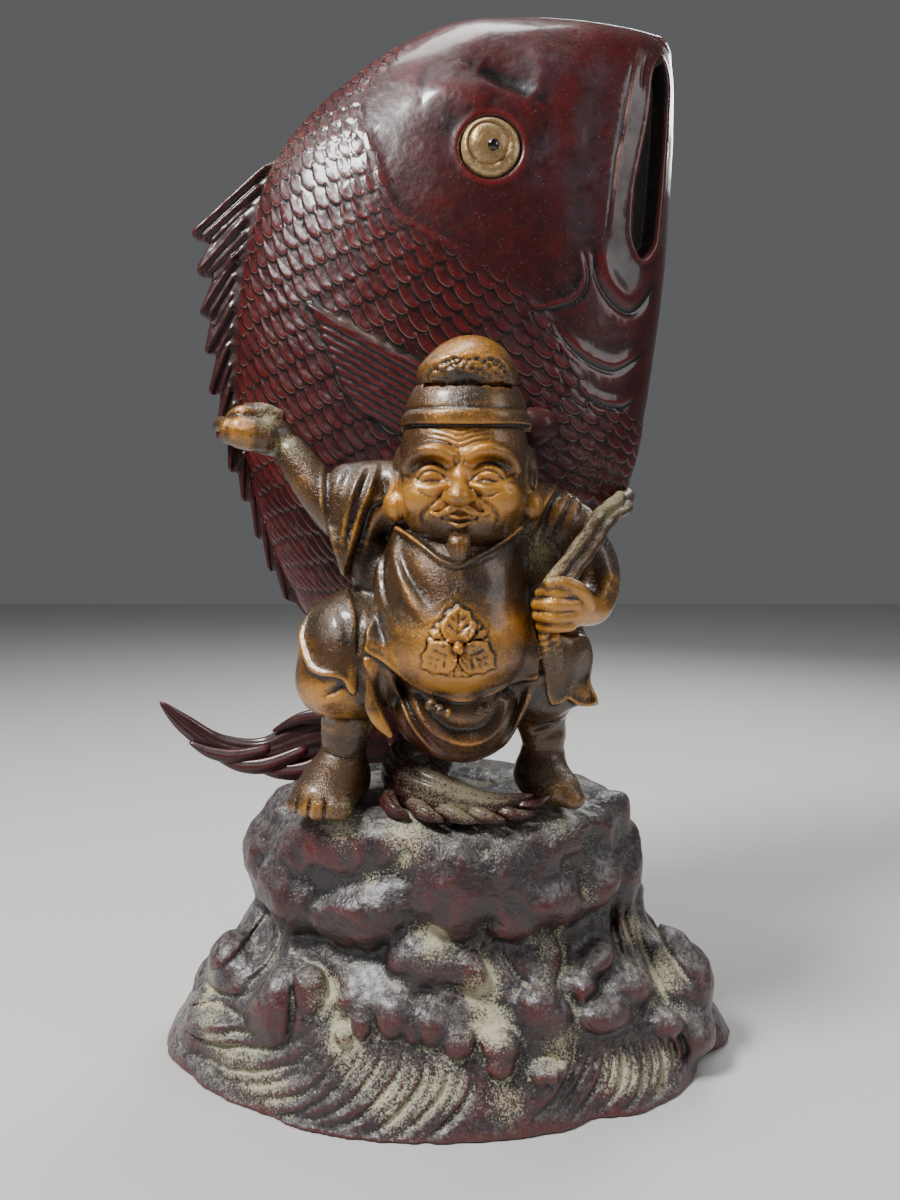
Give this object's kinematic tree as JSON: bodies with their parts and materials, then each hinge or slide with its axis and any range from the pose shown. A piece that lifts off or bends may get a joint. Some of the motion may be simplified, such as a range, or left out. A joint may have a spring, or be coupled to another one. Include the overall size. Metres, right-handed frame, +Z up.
{
  "type": "ebisu figure",
  "caption": "Cast statue of Ebisu carrying a great upright sea bream on his back by a rope, standing on a wave-washed rock base, with inlaid brass fish eyes.",
  "frame": {"origin": "centre of the rock base's oval underside", "axes": "+Z up, the figure and the fish's near flank face -Y, +X towards the fish's mouth and belly"},
  "size_m": [0.2746, 0.1739, 0.4736],
  "materials": {
    "red_lacquer": "glossy dark red lacquer patina, darker in the grooves, dusty on top",
    "brown_bronze": "satin golden brown patina, worn bright on the high spots and dark in the folds",
    "rock_lacquer": "dull grey-red lacquer under heavy pale dust",
    "eye_brass": "mottled old brass with a black pupil"
  },
  "bodies": {
    "root": {"rock_base": "rock_lacquer", "sea_bream": "red_lacquer", "ebisu": "brown_bronze", "fish_eye_near": "eye_brass", "fish_eye_far": "eye_brass"}
  },
  "joints": []
}
